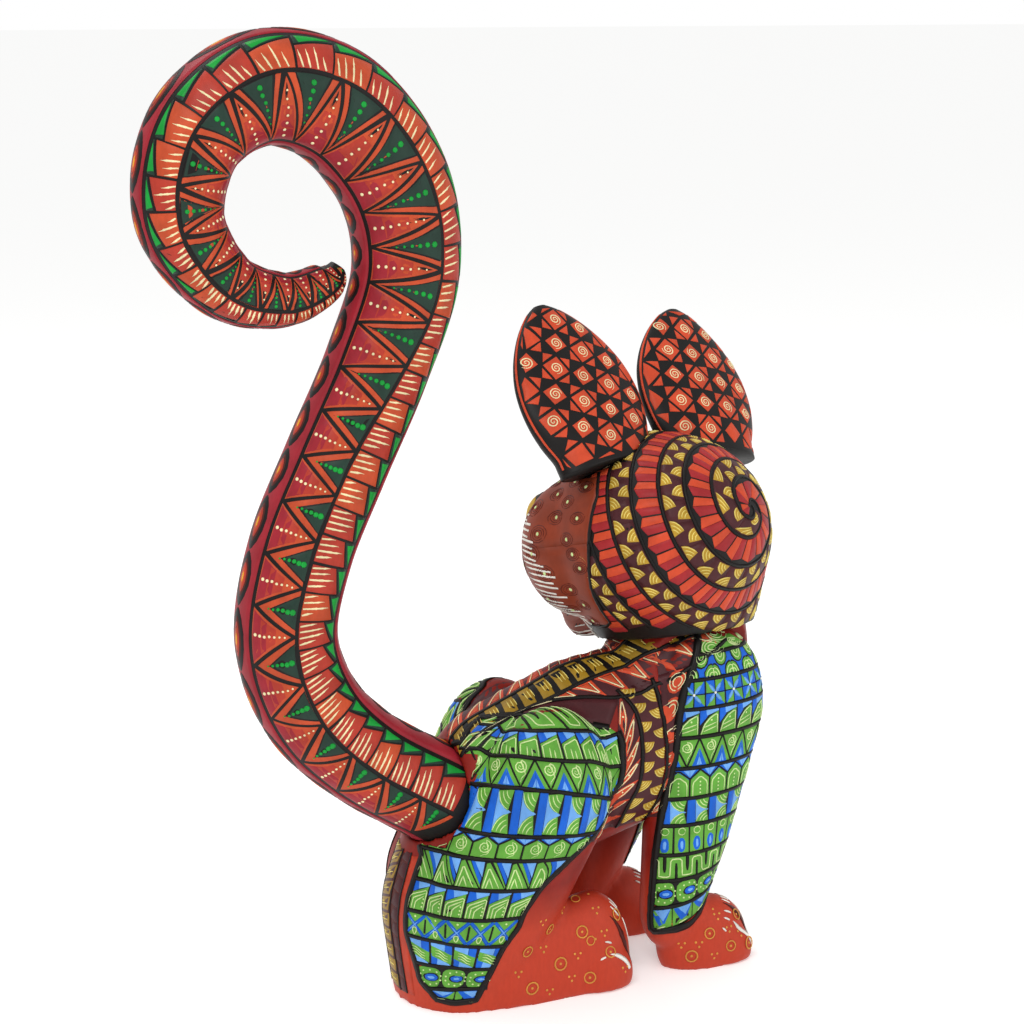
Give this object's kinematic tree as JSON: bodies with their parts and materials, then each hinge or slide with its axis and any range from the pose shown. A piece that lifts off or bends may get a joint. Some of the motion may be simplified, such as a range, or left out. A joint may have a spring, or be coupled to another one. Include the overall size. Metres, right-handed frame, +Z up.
{
  "type": "alebrije figure",
  "caption": "Carved and painted sitting cat looking over its shoulder, with a tall curled tail and two leaf-shaped ears that lift out on pegs.",
  "frame": {"origin": "on the flat base, under the middle of the rump", "axes": "+Z up, the body faces -Y and the cat's left side is +X"},
  "size_m": [0.1046, 0.2802, 0.3885],
  "materials": {
    "body_paint": "satin acrylic paint on carved wood",
    "head_paint": "satin acrylic paint on carved wood",
    "leg_paint": "satin acrylic paint on carved wood",
    "ear_paint": "satin acrylic paint on carved wood",
    "tail_paint": "satin acrylic paint on carved wood",
    "bare_wood": "unpainted whittled wood"
  },
  "bodies": {
    "cat": {"torso": "body_paint", "head": "head_paint", "neck_dowel": "bare_wood", "front_leg_left": "leg_paint", "front_leg_right": "leg_paint", "shoulder_dowel_left": "bare_wood", "shoulder_dowel_right": "bare_wood"},
    "tail": {"tail": "tail_paint", "tail_peg": "bare_wood"},
    "ear_left": {"ear_left": "ear_paint", "ear_peg_left": "bare_wood"},
    "ear_right": {"ear_right": "ear_paint", "ear_peg_right": "bare_wood"}
  },
  "joints": [
    {"name": "tail_pull", "type": "slide", "parent": "cat", "child": "tail", "axis": [0, 0.829, 0.5592], "range_m": [0, 0.045]},
    {"name": "ear_left_pull", "type": "slide", "parent": "cat", "child": "ear_left", "axis": [0.5044, 0.1738, 0.8458], "range_m": [0, 0.022]},
    {"name": "ear_right_pull", "type": "slide", "parent": "cat", "child": "ear_right", "axis": [0.5494, -0.049, 0.8341], "range_m": [0, 0.022]}
  ]
}
